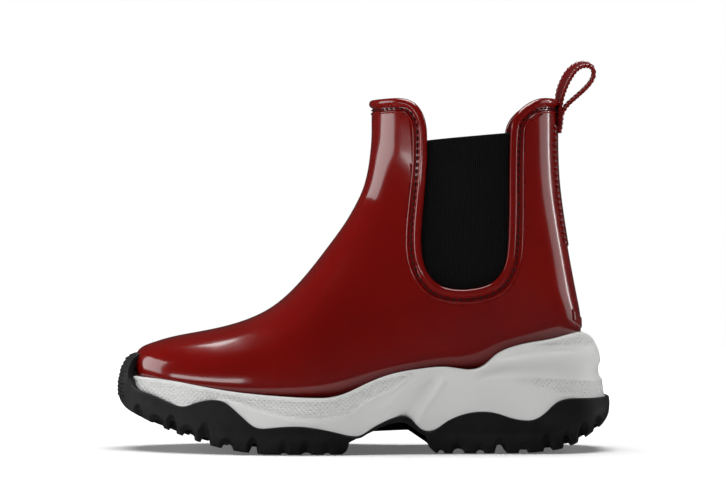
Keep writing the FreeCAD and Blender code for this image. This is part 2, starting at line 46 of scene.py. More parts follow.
# ---- the last, as in the design: sections that fan round from the toe to the collar -------------
# low x, low z, high x, high z, middle y, lateral half width, medial half width,
# share of the height where it is widest, flatness of the low side, fullness of the high side
LAST = np.array([
    (-131.5, 43.5, -132.4, 52.0, 9.0, 5.0, 5.0, 0.50, 2.0, 2.0),
    (-128.3, 38.5, -129.0, 57.0, 8.8, 14.5, 12.5, 0.44, 2.3, 2.1),
    (-122.0, 34.6, -122.3, 60.4, 8.0, 23.0, 19.5, 0.40, 2.6, 2.2),
    (-111.5, 31.0, -111.5, 63.7, 6.8, 31.0, 27.0, 0.36, 3.0, 2.3),
    (-95.0, 27.2, -95.0, 67.0, 5.2, 38.5, 35.0, 0.34, 3.2, 2.3),
    (-75.0, 24.2, -75.0, 71.5, 3.6, 43.6, 41.0, 0.32, 3.4, 2.3),
    (-52.0, 22.4, -53.0, 81.0, 2.2, 46.2, 44.2, 0.30, 3.4, 2.3),
    (-28.0, 22.6, -35.0, 97.3, 1.0, 45.8, 42.6, 0.28, 3.4, 2.3),
    (-2.0, 25.2, -21.2, 114.6, 0.4, 42.0, 38.0, 0.28, 3.2, 2.4),
    (28.0, 30.6, -11.0, 128.6, 0.0, 37.6, 34.4, 0.30, 3.0, 2.4),
    (60.0, 36.6, -4.2, 140.2, 0.0, 35.0, 33.4, 0.34, 2.8, 2.4),
    (90.0, 40.0, 0.0, 149.4, 0.0, 34.2, 33.4, 0.38, 2.6, 2.3),
    (110.0, 44.5, 2.0, 156.4, 0.0, 34.2, 33.8, 0.42, 2.4, 2.3),
    (121.0, 55.0, 3.2, 162.6, 0.0, 34.6, 34.4, 0.45, 2.2, 2.2),
    (125.2, 69.0, 4.0, 168.6, 0.0, 35.0, 35.0, 0.47, 2.1, 2.1),
    (123.2, 86.0, 4.6, 174.8, 0.0, 35.5, 35.5, 0.49, 2.0, 2.0),
    (118.8, 109.0, 4.9, 181.4, 0.0, 36.2, 36.2, 0.50, 2.0, 2.0),
    (114.7, 134.0, 4.9, 187.6, 0.0, 37.0, 37.0, 0.50, 2.0, 2.0),
    (112.2, 155.0, 4.9, 192.8, 0.0, 37.7, 37.7, 0.50, 2.0, 2.0),
    (111.4, 178.0, 4.9, 198.4, 0.0, 38.3, 38.3, 0.50, 2.0, 2.0),
    (111.4, SHAFT_TOP, 4.9, SHAFT_TOP, 0.0, 38.8, 38.8, 0.50, 2.0, 2.0),
])


def cubic(knots, values):
    """Natural cubic spline through the values at the knots, as a function of an array."""
    x, y = np.asarray(knots, float), np.asarray(values, float)
    n, h = len(x), np.diff(x)
    a, b = np.eye(n), np.zeros(n)
    for i in range(1, n - 1):
        a[i, i - 1:i + 2] = h[i - 1], 2 * (h[i - 1] + h[i]), h[i]
        b[i] = 6 * ((y[i + 1] - y[i]) / h[i] - (y[i] - y[i - 1]) / h[i - 1])
    m = np.linalg.solve(a, b)

    def at(t):
        t = np.asarray(t, float)
        i = np.clip(np.searchsorted(x, t, side="right") - 1, 0, n - 2)
        p, q = x[i + 1] - t, t - x[i]
        return ((m[i] * p ** 3 + m[i + 1] * q ** 3) / (6 * h[i])
                + (y[i] / h[i] - m[i] * h[i] / 6) * p + (y[i + 1] / h[i] - m[i + 1] * h[i] / 6) * q)

    return at


step = np.diff(LAST[:, :4], axis=0)
KNOTS = np.concatenate([[0.0], np.cumsum(np.sqrt((step ** 2).sum(1) / 2))])
ROW = [cubic(KNOTS, LAST[:, k]) for k in range(10)]
T_END = KNOTS[-1]


def upper(t, phi, inset=0.0):
    """Points of the last moved inwards by inset. phi runs round a section: 0 low, pi high, out on the
    lateral side and back on the medial one."""
    t, phi = np.broadcast_arrays(np.asarray(t, float), np.asarray(phi, float))
    bx, bz, tx, tz, mid, lat, med, widest, flat, full = (f(t) for f in ROW)
    around = np.mod(phi, TURN)
    lateral = around <= math.pi
    turn = np.where(lateral, around, TURN - around) / (math.pi / 2)
    low = np.clip(turn, 0, 1)
    high = np.clip(turn - 1, 0, 1)
    lo_turn = math.pi / 2 * low ** (flat / 2)
    hi_turn = math.pi / 2 * high ** (full / 2)
    height = np.where(turn <= 1, widest * (1 - np.cos(lo_turn)),
                      widest + (1 - widest) * np.sin(hi_turn) ** (2 / full))
    width = np.where(turn <= 1, np.sin(lo_turn) ** (2 / flat), np.cos(hi_turn))
    tall = np.hypot(tx - bx, tz - bz)
    along = inset + height * (tall - 2 * inset)
    half = np.where(lateral, -(lat - inset), med - inset)
    return np.stack([bx + (tx - bx) / tall * along, mid + half * width, bz + (tz - bz) / tall * along], -1)


def upper_slopes(t, phi):
    """Unit outward normal and the two derivatives of the upper's surface."""
    dt, dp = 0.2, 0.002
    st = (upper(t + dt, phi) - upper(t - dt, phi)) / (2 * dt)
    sp = (upper(t, phi + dp) - upper(t, phi - dp)) / (2 * dp)
    n = np.cross(st, sp)
    return n / np.linalg.norm(n, axis=-1, keepdims=True), st, sp


TABLE_T = np.linspace(0, T_END, 1400)


def find(x, z, lateral=True):
    """The (t, phi) whose surface point shows at x, z in side view."""
    bx, bz, tx, tz = (ROW[k](TABLE_T) for k in range(4))
    cross = (x - bx) * (tz - bz) - (z - bz) * (tx - bx)
    sign = np.sign(cross)
    hits = np.nonzero(np.diff(sign) != 0)[0]
    k = hits[-1]
    t = TABLE_T[k] - cross[k] * (TABLE_T[k + 1] - TABLE_T[k]) / (cross[k + 1] - cross[k])
    bx, bz, tx, tz, _, _, _, widest, flat, full = (float(f(t)) for f in ROW)
    tall = math.hypot(tx - bx, tz - bz)
    height = ((x - bx) * (tx - bx) + (z - bz) * (tz - bz)) / tall ** 2
    if height < widest:
        turn = (math.acos(1 - max(height, 0) / widest) / (math.pi / 2)) ** (2 / flat)
    else:
        share = min((height - widest) / (1 - widest), 1.0)
        turn = 1 + (math.asin(share ** (full / 2)) / (math.pi / 2)) ** (2 / full)
    phi = turn * math.pi / 2
    return t, phi if lateral else TURN - phi


def walk(t, phi, direction, distance, steps=6):
    """Moves over the upper's surface by distance in a direction, all along a row of points."""
    t, phi = t.copy(), phi.copy()
    for _ in range(steps):
        n, st, sp = upper_slopes(t, phi)
        d = direction - (direction * n).sum(-1, keepdims=True) * n
        d = d / np.linalg.norm(d, axis=-1, keepdims=True) * distance / steps
        a, b, c = (st * st).sum(-1), (st * sp).sum(-1), (sp * sp).sum(-1)
        u, v = (st * d).sum(-1), (sp * d).sum(-1)
        det = a * c - b * b
        t = t + (c * u - b * v) / det
        phi = phi + (a * v - b * u) / det
    return t, phi


# ---- mesh helpers --------------------------------------------------------------------------------
def grid_faces(rows, columns, close_rows=False, close_columns=False, flip=False):
    """Quads of a grid of points numbered row by row."""
    faces = []
    for i in range(rows if close_rows else rows - 1):
        for j in range(columns if close_columns else columns - 1):
            a, b = i * columns + j, i * columns + (j + 1) % columns
            c, d = ((i + 1) % rows) * columns + (j + 1) % columns, ((i + 1) % rows) * columns + j
            faces.append((a, d, c, b) if flip else (a, b, c, d))
    return faces


def first_and_last(count, rows):
    """Faces that close the first and the last row of a grid."""
    return [tuple(range(count)), tuple(range((rows - 1) * count, rows * count))[::-1]]


def mesh_object(name, points, faces, smooth=True):
    """A new object from points in millimetres."""
    mesh = bpy.data.meshes.new(name)
    mesh.from_pydata((np.asarray(points).reshape(-1, 3) * MM).tolist(), [], faces)
    mesh.validate()
    obj = bpy.data.objects.new(name, mesh)
    bpy.context.scene.collection.objects.link(obj)
    for face in mesh.polygons:
        face.use_smooth = smooth
    return obj


def tidy_mesh(obj, weld=1e-5):
    """Welds doubled points and turns every face outwards."""
    bm = bmesh.new()
    bm.from_mesh(obj.data)
    bmesh.ops.remove_doubles(bm, verts=bm.verts, dist=weld)
    bmesh.ops.recalc_face_normals(bm, faces=bm.faces)
    bm.to_mesh(obj.data)
    bm.free()


def apply_modifiers(obj):
    graph = bpy.context.evaluated_depsgraph_get()
    mesh = bpy.data.meshes.new_from_object(obj.evaluated_get(graph))
    old, obj.data = obj.data, mesh
    obj.modifiers.clear()
    bpy.data.meshes.remove(old)


def finished(obj, material, body, slot, *nodes):
    """Gives a piece its material and body, and hides the design nodes that it stands for. The slot is not
    used.
    """
    obj.data.materials.clear()
    obj.data.materials.append(material)
    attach(obj, body)
    if nodes:
        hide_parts(*nodes)
    return obj


def resampled(points, pitch):
    """A polyline resampled to an even pitch through a smooth curve."""
    points = np.asarray(points, float)
    run = np.concatenate([[0], np.cumsum(np.linalg.norm(np.diff(points, axis=0), axis=1))])
    count = max(int(run[-1] / pitch), 2)
    at = np.linspace(0, run[-1], count + 1)
    return np.stack([cubic(run, points[:, k])(at) for k in range(points.shape[1])], -1)


def smooth_rise(x, low, high):
    s = np.clip((x - low) / (high - low), 0, 1)
    return s * s * (3 - 2 * s)


def bump_at(x, middle, half, soft=0.6):
    """1 inside middle +- half, 0 outside, with soft sides."""
    return smooth_rise(half - np.abs(x - middle), -soft, soft)


def curve_function(points):
    """z as a function of x along a smooth side-view curve."""
    fine = resampled(points, 0.4)
    order = np.argsort(fine[:, 0])
    return fine[order, 0], fine[order, 1]


def chain(*curves):
    """z as a function of x along a chain of smooth side-view curves."""
    parts = [curve_function(points) for points in curves]
    x, z = (np.concatenate([p[k] for p in parts]) for k in (0, 1))
    order = np.argsort(x, kind="stable")
    return lambda at: np.interp(at, x[order], z[order])


def distance_to(points, x, z):
    """Distance of many (x, z) from a side-view polyline, and how far along it the nearest place is."""
    points = np.asarray(points, float)
    best, share = np.full(np.shape(x), 1e9), np.zeros(np.shape(x))
    n = len(points) - 1
    for k in range(n):
        (ax, az), (bx, bz) = points[k], points[k + 1]
        ll = (bx - ax) ** 2 + (bz - az) ** 2
        s = np.clip(((x - ax) * (bx - ax) + (z - az) * (bz - az)) / ll, 0, 1)
        d = np.hypot(x - ax - s * (bx - ax), z - az - s * (bz - az))
        nearer = d < best
        best, share = np.where(nearer, d, best), np.where(nearer, (k + s) / n, share)
    return best, share


# ---- side-view curves, as in the design ----------------------------------------------------------
FRONT_RIM = [(5.0, 199.2), (12.5, 199.3), (20.0, 199.3), (26.7, 197.6), (31.2, 193.3), (34.0, 187.1),
             (35.1, 176.5)]
GORE_OPENING = [(35.1, 176.5), (33.4, 142.2), (32.0, 122.5), (32.9, 109.6), (36.8, 99.5), (43.5, 93.6),
                (52.0, 91.4), (63.2, 91.9), (72.8, 95.0), (78.9, 101.2), (82.0, 111.3), (82.9, 122.5),
                (83.4, 153.4), (84.0, 178.7)]
REAR_RIM = [(84.0, 178.7), (85.1, 186.0), (89.0, 192.2), (94.7, 196.7), (101.4, 199.4), (106.5, 199.8),
            (111.3, 199.8)]
JOINT_LINE = [(-150.0, 43.2), (-132.0, 42.1), (-110.6, 40.5), (-91.0, 37.4), (-68.6, 34.3), (-46.2, 32.4),
              (-29.4, 31.5), (-18.2, 31.8), (-9.8, 34.0), (1.4, 39.1), (15.4, 44.4), (32.2, 47.5),
              (49.0, 48.3), (64.1, 47.5), (68.6, 49.7), (74.2, 54.8), (82.6, 59.2), (93.8, 62.0),
              (107.8, 64.3), (119.0, 67.0), (125.6, 67.4), (129.7, 65.2), (133.7, 59.4), (140.0, 46.0)]
WAVE = [(-134.2, 40.4), (-131.6, 35.9), (-125.0, 33.3), (-116.1, 30.4), (-105.8, 26.6), (-101.5, 26.0),
        (-97.5, 27.1), (-89.3, 29.6), (-84.0, 30.1), (-78.5, 29.2), (-74.1, 26.3), (-65.4, 18.7),
        (-60.3, 15.2), (-51.0, 14.9), (-34.0, 15.6), (-21.5, 13.8), (-12.4, 11.7), (-5.0, 10.3),
        (-1.5, 10.6), (3.0, 13.2), (10.5, 17.5), (18.0, 20.6), (22.8, 21.4), (26.0, 20.3), (29.8, 16.6),
        (34.0, 13.3), (38.3, 12.9), (42.6, 14.9), (46.9, 17.9), (54.5, 21.4), (60.9, 23.0), (67.3, 23.5),
        (74.8, 22.6), (82.4, 20.2), (89.9, 18.7), (95.3, 18.9), (99.5, 20.7), (103.8, 24.2), (108.7, 28.4),
        (113.5, 30.3), (121.5, 30.8), (130.0, 30.6), (150.0, 31.4)]
OUTSOLE_BOTTOM = (
    [(-141.2, 33.5), (-140.9, 29.5), (-138.4, 25.6), (-129.3, 20.2), (-121.7, 16.9), (-104.7, 10.3),
     (-88.1, 5.1), (-71.9, 1.8), (-55.0, 0.0)],
    [(-55.0, 0.0), (-12.0, 0.0)],
    [(-12.0, 0.0), (-9.6, 1.6), (-7.8, 6.6)],
    [(-7.8, 6.6), (-2.4, 9.2), (4.0, 12.0), (10.5, 15.0), (18.0, 17.2), (22.8, 17.4), (29.8, 13.1),
     (35.5, 9.6)],
    [(35.5, 9.6), (37.0, 4.1), (41.5, 0.0)],
    [(41.5, 0.0), (88.2, 0.0)],
    [(88.2, 0.0), (101.0, 0.9), (112.0, 2.6), (121.4, 6.0), (130.0, 11.3), (137.6, 16.4), (141.2, 21.5)],
)
MIDSOLE_PLAN = [(-136.4, 9.0), (-133.4, -5.0), (-121.0, -20.4), (-103.0, -32.5), (-80.0, -43.0),
                (-52.0, -50.0), (-28.0, -51.5), (0.0, -48.0), (30.0, -42.5), (60.0, -40.0), (90.0, -40.0),
                (112.0, -38.5), (128.0, -30.0), (137.0, -16.0), (139.8, 0.0), (137.0, 16.5), (128.0, 30.5),
                (112.0, 38.5), (90.0, 40.0), (60.0, 38.0), (30.0, 36.5), (0.0, 40.5), (-28.0, 48.0),
                (-56.0, 51.5), (-80.0, 49.5), (-103.0, 43.0), (-121.0, 34.4), (-133.4, 22.0)]
OUTSOLE_PLAN = [(-141.2, 9.0), (-138.0, -3.5), (-121.5, -21.5), (-103.4, -33.4)] \
    + [(x * 1.009, y * 1.017) for x, y in MIDSOLE_PLAN[4:-3]] \
    + [(-103.4, 44.0), (-121.5, 35.5), (-138.0, 21.5)]
joint_z = chain(JOINT_LINE)
wave_z = chain(WAVE)
bottom_z = chain(*OUTSOLE_BOTTOM)


def closed_plan(points, count):
    """A closed smooth outline resampled to an even pitch, as (x, y) rows, with outward normals."""
    ring = np.array(points + points[:1], float)
    wrap = np.vstack([ring[-5:-1], ring, ring[1:5]])
    run = np.concatenate([[0], np.cumsum(np.linalg.norm(np.diff(wrap, axis=0), axis=1))])
    start, end = run[4], run[4 + len(ring) - 1]
    fx, fy = cubic(run, wrap[:, 0]), cubic(run, wrap[:, 1])
    fine = np.linspace(start, end, 6000)
    p = np.stack([fx(fine), fy(fine)], -1)
    length = np.concatenate([[0], np.cumsum(np.linalg.norm(np.diff(p, axis=0), axis=1))])
    at = np.interp(np.linspace(0, length[-1], count, endpoint=False), length, fine)
    p = np.stack([fx(at), fy(at)], -1)
    tangent = np.stack([fx(at + 0.05) - fx(at - 0.05), fy(at + 0.05) - fy(at - 0.05)], -1)
    tangent /= np.linalg.norm(tangent, axis=1, keepdims=True)
    normal = np.stack([tangent[:, 1], -tangent[:, 0]], -1)
    return p, -normal if (normal[0] * (p[0] - p.mean(0))).sum() < 0 else normal


# ---- materials -----------------------------------------------------------------------------------
def material(name, colour, roughness, **sockets):
    """A principled material, with extra sockets by name, and its node tree."""
    mat = bpy.data.materials.new(name)
    mat.use_nodes = True
    shader = mat.node_tree.nodes["Principled BSDF"]
    shader.inputs["Base Color"].default_value = (*colour, 1)
    shader.inputs["Roughness"].default_value = roughness
    for key, value in sockets.items():
        shader.inputs[key.replace("_", " ")].default_value = value
    return mat, mat.node_tree, shader


def node(tree, kind, **values):
    """A new node with its settings and unlinked inputs."""
    n = tree.nodes.new(kind)
    for key, value in values.items():
        if hasattr(n, key):
            setattr(n, key, value)
        else:
            n.inputs[key.replace("_", " ")].default_value = value
    return n


def noise(tree, scale, detail=2.0, stretch=(1, 1, 1), roughness=0.5):
    """Noise over the object's own coordinates, in cycles per metre."""
    place = node(tree, "ShaderNodeTexCoord")
    mapping = node(tree, "ShaderNodeMapping", Scale=stretch)
    tex = node(tree, "ShaderNodeTexNoise", Scale=scale, Detail=detail, Roughness=roughness)
    tree.links.new(place.outputs["Object"], mapping.inputs["Vector"])
    tree.links.new(mapping.outputs["Vector"], tex.inputs["Vector"])
    return tex.outputs["Fac"]


def ramp(tree, source, *stops):
    """A colour ramp of (position, colour) stops."""
    n = node(tree, "ShaderNodeValToRGB")
    while len(n.color_ramp.elements) < len(stops):
        n.color_ramp.elements.new(0.5)
    for element, (at, colour) in zip(n.color_ramp.elements, stops):
        element.position = at
        element.color = (*colour, 1)
    tree.links.new(source, n.inputs["Fac"])
    return n.outputs["Color"]


def maths(tree, operation, a, b=0.0):
    """A Math node on two inputs. MULTIPLY_ADD keeps the node's own third input, 0.5."""
    n = node(tree, "ShaderNodeMath", operation=operation)
    for k, value in enumerate((a, b)):
        if isinstance(value, (int, float)):
            n.inputs[k].default_value = value
        else:
            tree.links.new(value, n.inputs[k])
    return n.outputs[0]


def object_axes(tree):
    """The object's own x, y and z, in metres."""
    place = node(tree, "ShaderNodeTexCoord")
    split = node(tree, "ShaderNodeSeparateXYZ")
    tree.links.new(place.outputs["Object"], split.inputs[0])
    return split.outputs


def ripples(tree, along, pitch):
    """0 to 1 ripples along a length, pitch in metres."""
    turned = maths(tree, "MULTIPLY", along, TURN / pitch)
    return maths(tree, "MULTIPLY_ADD", maths(tree, "SINE", turned), 0.5)


def axis_wave(tree, axis, pitch):
    return ripples(tree, object_axes(tree)[axis], pitch)


def diagonal_wave(tree, pitch, side):
    """Ripples across one diagonal of the side view."""
    axes = object_axes(tree)
    return ripples(tree, maths(tree, "ADD", axes[0], maths(tree, "MULTIPLY", axes[2], side)), pitch)


def paint(tree, shader, source, *stops):
    """The base colour, from a colour ramp."""
    tree.links.new(ramp(tree, source, *stops), shader.inputs["Base Color"])


def bump(tree, shader, height, distance, strength=1.0, before=None):
    n = node(tree, "ShaderNodeBump", Distance=distance, Strength=strength)
    tree.links.new(height, n.inputs["Height"])
    if before is not None:
        tree.links.new(before, n.inputs["Normal"])
    tree.links.new(n.outputs["Normal"], shader.inputs["Normal"])
    return n.outputs["Normal"]


def red_pvc(name="red_pvc", gloss=0.16, deep=(0.16, 0.002, 0.0015), light=(0.21, 0.004, 0.002)):
    """Glossy moulded PVC: red, slightly uneven, with faint ripples in its reflections."""
    mat, tree, shader = material(name, deep, gloss, IOR=1.5, Coat_Weight=0.7, Coat_Roughness=0.07)
    paint(tree, shader, noise(tree, 18, 3), (0.3, deep), (0.75, light))
    uneven = maths(tree, "MULTIPLY", noise(tree, 160, 3), 0.05)
    tree.links.new(maths(tree, "ADD", uneven, gloss - 0.025), shader.inputs["Roughness"])
    wide = bump(tree, shader, noise(tree, 26, 2), 0.0011, 0.55)
    bump(tree, shader, noise(tree, 900, 2), 0.00003, 0.5, wide)
    return mat


def red_tape():
    """The backstay and pull loop: the same PVC, less glossy."""
    return red_pvc("red_tape", 0.24)


def elastic():
    """Black elastic webbing: fine upright ribs crossed by finer picks, dull."""
    mat, tree, shader = material("elastic", (0.004, 0.004, 0.004), 0.85, Specular_IOR_Level=0.12)
    ribs = axis_wave(tree, 0, 0.0011)
    picks = axis_wave(tree, 2, 0.0006)
    weave = maths(tree, "MULTIPLY_ADD", picks, 0.25)
    height = maths(tree, "ADD", ribs, weave)
    paint(tree, shader, ribs, (0.0, (0.002, 0.002, 0.002)), (1.0, (0.009, 0.009, 0.010)))
    bump(tree, shader, height, 0.0003, 0.9)
    return mat


def knit():
    """Black knitted lining."""
    mat, tree, shader = material("knit", (0.012, 0.012, 0.013), 0.9, Sheen_Weight=0.3)
    loops = maths(tree, "MULTIPLY", axis_wave(tree, 0, 0.0013), axis_wave(tree, 2, 0.0011))
    paint(tree, shader, loops, (0.0, (0.006, 0.006, 0.007)), (1.0, (0.022, 0.022, 0.024)))
    bump(tree, shader, loops, 0.0004, 0.8)
    return mat


def thread():
    """Twisted dark sewing thread."""
    mat, tree, shader = material("thread", (0.010, 0.003, 0.004), 0.6)
    bump(tree, shader, noise(tree, 2600, 1), 0.00008, 0.8)
    return mat


DOT_PITCH = 0.0026     # across the diagonal rows of the midsole's dots, in metres


def white_foam():
    """Off-white moulded foam: satin, finely grained, dotted where the grain attribute is 1."""
    mat, tree, shader = material("white_foam", (0.78, 0.78, 0.77), 0.42)
    paint(tree, shader, noise(tree, 30, 4), (0.2, (0.72, 0.72, 0.71)), (0.8, (0.80, 0.80, 0.79)))
    fine = bump(tree, shader, noise(tree, 1500, 2), 0.00004, 0.5)
    where = node(tree, "ShaderNodeAttribute", attribute_name="grain")
    rows = maths(tree, "MULTIPLY", diagonal_wave(tree, DOT_PITCH, 1), diagonal_wave(tree, DOT_PITCH, -1))
    bump(tree, shader, maths(tree, "MULTIPLY", rows, where.outputs["Fac"]), 0.0005, 0.9, fine)
    return mat


def black_rubber():
    """Moulded outsole rubber: near black, dull, with a fine grain and uneven tone."""
    mat, tree, shader = material("black_rubber", (0.012, 0.012, 0.013), 0.5, Specular_IOR_Level=0.3)
    paint(tree, shader, noise(tree, 45, 5), (0.3, (0.006, 0.006, 0.0065)), (0.75, (0.014, 0.014, 0.015)))
    uneven = maths(tree, "MULTIPLY", noise(tree, 220, 3), 0.3)
    tree.links.new(maths(tree, "ADD", uneven, 0.42), shader.inputs["Roughness"])
    bump(tree, shader, noise(tree, 1800, 2), 0.00006, 0.6)
    return mat


def foam_sheet():
    mat, tree, shader = material("foam_sheet", (0.09, 0.09, 0.095), 0.95)
    cells = noise(tree, 2200, 2)
    paint(tree, shader, cells, (0.3, (0.05, 0.05, 0.053)), (0.7, (0.11, 0.11, 0.115)))
    bump(tree, shader, cells, 0.0003, 0.6)
    return mat


RED, TAPE, ELASTIC, KNIT, THREAD, WHITE, BLACK, FOAM = (
    red_pvc(), red_tape(), elastic(), knit(), thread(), white_foam(), black_rubber(), foam_sheet())


# ---- upper ---------------------------------------------------------------------------------------
BAND_IN = 7.1          # the moulded edge band covers this much of the upper, measured in side view
BAND_PITCH = 1.3


def beside(points, distance):
    """A side-view curve moved sideways, outwards from an opening that it runs round clockwise."""
    points = np.asarray(points, float)
    run = np.gradient(points, axis=0)
    run /= np.linalg.norm(run, axis=1, keepdims=True)
    return points + distance * np.stack([run[:, 1], -run[:, 0]], -1)


def collar_curve():
    """The collar's trim in side view, front to back, by way of the gore opening."""
    return resampled(FRONT_RIM + GORE_OPENING[1:] + REAR_RIM[1:], 1.0)


def prism(name, outline, half=90.0):
    """A closed solid with a side-view outline, right across the boot."""
    outline = np.asarray(outline, float)
    n = len(outline)
    points = np.concatenate([np.insert(outline, 1, y, axis=1) for y in (-half, half)])
    sides = [(k, (k + 1) % n, n + (k + 1) % n, n + k) for k in range(n)]
    obj = mesh_object(name, points, [tuple(range(n))[::-1], tuple(range(n, 2 * n))] + sides)
    tidy_mesh(obj)
    return obj


def boolean(obj, other, operation):
    """Applies one exact boolean and deletes the cutter."""
    modifier = obj.modifiers.new("cut", "BOOLEAN")
    modifier.object, modifier.operation, modifier.solver = other, operation, "EXACT"
    apply_modifiers(obj)
    bpy.data.objects.remove(other)


def layer_of_last(inset, rows, columns):
    """Points of the last's surface at one inset, ring by ring from the toe to the collar end."""
    start = 1.2 * inset
    t = start + (T_END - start) * np.linspace(0, 1, rows) ** 1.15
    phi = np.linspace(0, TURN, columns, endpoint=False)
    return upper(t[:, None], phi[None, :], inset).reshape(-1, 3)


def solid_of_last(name, inset, rows, columns):
    faces = grid_faces(rows, columns, close_columns=True)
    faces += [tuple(range(columns)), tuple(range((rows - 1) * columns, rows * columns))[::-1]]
    obj = mesh_object(name, layer_of_last(inset, rows, columns), faces)
    tidy_mesh(obj)
    return obj


def shell_of_last(name, outside, inside, rows, columns):
    """The layer between two insets, open at the collar end, closed at the toe."""
    n, last = rows * columns, (rows - 1) * columns
    outer = grid_faces(rows, columns, close_columns=True)
    inner = [tuple(n + k for k in face[::-1]) for face in outer]
    after = [(k + 1) % columns for k in range(columns)]
    rim = [(last + k, last + m, n + last + m, n + last + k) for k, m in enumerate(after)]
    toe = [tuple(range(columns)), tuple(range(n, n + columns))[::-1]]
    points = np.concatenate([layer_of_last(inset, rows, columns) for inset in (outside, inside)])
    obj = mesh_object(name, points, outer + inner + rim + toe)
    tidy_mesh(obj)
    return obj


def under_collar(distance):
    """Side-view outline of everything under the collar's trim moved in by distance."""
    curve = beside(collar_curve(), distance)
    return np.vstack([[(-170.0, 0.0), (-170.0, curve[0, 1])], curve, [(150.0, curve[-1, 1]), (150.0, 0.0)]])


def make_upper():
    shell = shell_of_last("upper", 0.0, WALL, 150, 144)
    boolean(shell, prism("cutter", under_collar(BAND_IN)), "INTERSECT")
    tidy_mesh(shell)
    return finished(shell, RED, "boot", "red_pvc", "upper_shell")


def collar_loop():
    """Evenly spaced (t, phi) round the collar's edge: back over the lateral side, forward over the medial."""
    curve = collar_curve()
    front = 4.9 + (curve[0, 0] - 4.9) * np.array([0.02, 0.12, 0.35, 0.7])
    places = [(x, curve[0, 1]) for x in front] + [tuple(p) for p in curve]
    places = [p for p in places if p[0] < 111.35]
    found = np.array([find(x, z) for x, z in places])
    t, phi = found[:, 0], found[:, 1]
    t = np.concatenate([t[:1], t, t[-1:], t[::-1]])
    phi = np.concatenate([[math.pi], phi, [0.0], -phi[::-1]])
    t, phi = np.append(t, t[0]), np.append(phi, -math.pi)
    p = upper(t, phi)
    run = np.concatenate([[0], np.cumsum(np.linalg.norm(np.diff(p, axis=0), axis=1))])
    keep = np.concatenate([[True], np.diff(run) > 1e-3])
    count = int(run[-1] / BAND_PITCH)
    at = np.linspace(0, run[-1], count, endpoint=False)
    return np.interp(at, run[keep], t[keep]), np.interp(at, run[keep], phi[keep])


def softened(values, width=2):
    """A closed row of numbers, averaged with its neighbours."""
    total = values.copy()
    for k in range(1, width + 1):
        total = total + np.roll(values, k, axis=0) + np.roll(values, -k, axis=0)
    return total / (2 * width + 1)


# Cross-section of the moulded edge band: distance in from the edge, height over the upper's surface.
BAND = [(7.4, -2.6), (5.0, -2.65), (2.5, -2.7), (0.9, -2.65), (0.0, -2.3), (-0.6, -1.6), (-0.75, -0.7),
        (-0.6, 0.2), (-0.15, 0.85), (0.6, 1.3), (1.5, 1.45), (2.4, 1.3), (3.1, 0.85), (3.5, 0.25),
        (3.75, -0.3), (4.3, -0.45), (5.2, -0.48), (6.1, -0.42), (6.4, -0.1), (6.65, 0.32), (7.0, 0.5),
        (7.4, 0.36), (7.75, 0.08), (8.1, -0.35)]


def band_frame():
    t, phi = collar_loop()
    p = upper(t, phi)
    tangent = softened(np.roll(p, -1, axis=0) - np.roll(p, 1, axis=0), 3)
    tangent /= np.linalg.norm(tangent, axis=1, keepdims=True)
    return t, phi, np.cross(tangent, upper_slopes(t, phi)[0])


def over_surface(t, phi, direction, distance, height):
    """Points a distance from the row (t, phi) over the upper's surface, and a height above it."""
    if abs(distance) > 1e-6:
        t, phi = walk(t, phi, direction * np.sign(distance), abs(distance))
    return upper(t, phi) + upper_slopes(t, phi)[0] * height


def make_edge_band():
    """Moulded binding all round the collar and the gores: a roll, a stitched channel and a fine ridge."""
    t, phi, inward = band_frame()
    rows = [softened(over_surface(t, phi, inward, s, h), 1) for s, h in BAND]
    count = len(t)
    obj = mesh_object("edge_band", np.concatenate(rows), grid_faces(len(BAND), count, True, True))
    tidy_mesh(obj)
    return finished(obj, RED, "boot", "red_pvc")


def capsule_row(name, centres, along, up, long, thick, sides=6):
    """Stitches: short rounded bars lying along a seam, one closed solid each."""
    points, faces = [], []
    rings = [(-0.5, 0.35), (-0.36, 0.85), (-0.12, 1.0), (0.12, 1.0), (0.36, 0.85), (0.5, 0.35)]
    for c, a, u in zip(centres, along, up):
        b = np.cross(a, u)
        base = len(points)
        for share, fat in rings:
            for k in range(sides):
                turn = TURN * k / sides
                sink = -0.35 * thick * (abs(share) * 2) ** 2
                around = (b * math.cos(turn) + u * math.sin(turn)) * thick / 2 * fat
                points.append(c + a * share * long + around + u * sink)
        faces += [tuple(base + i for i in f) for f in grid_faces(len(rings), sides, close_columns=True)]
        faces += [tuple(base + k for k in range(sides))[::-1],
                  tuple(base + (len(rings) - 1) * sides + k for k in range(sides))]
    return mesh_object(name, np.array(points), faces)


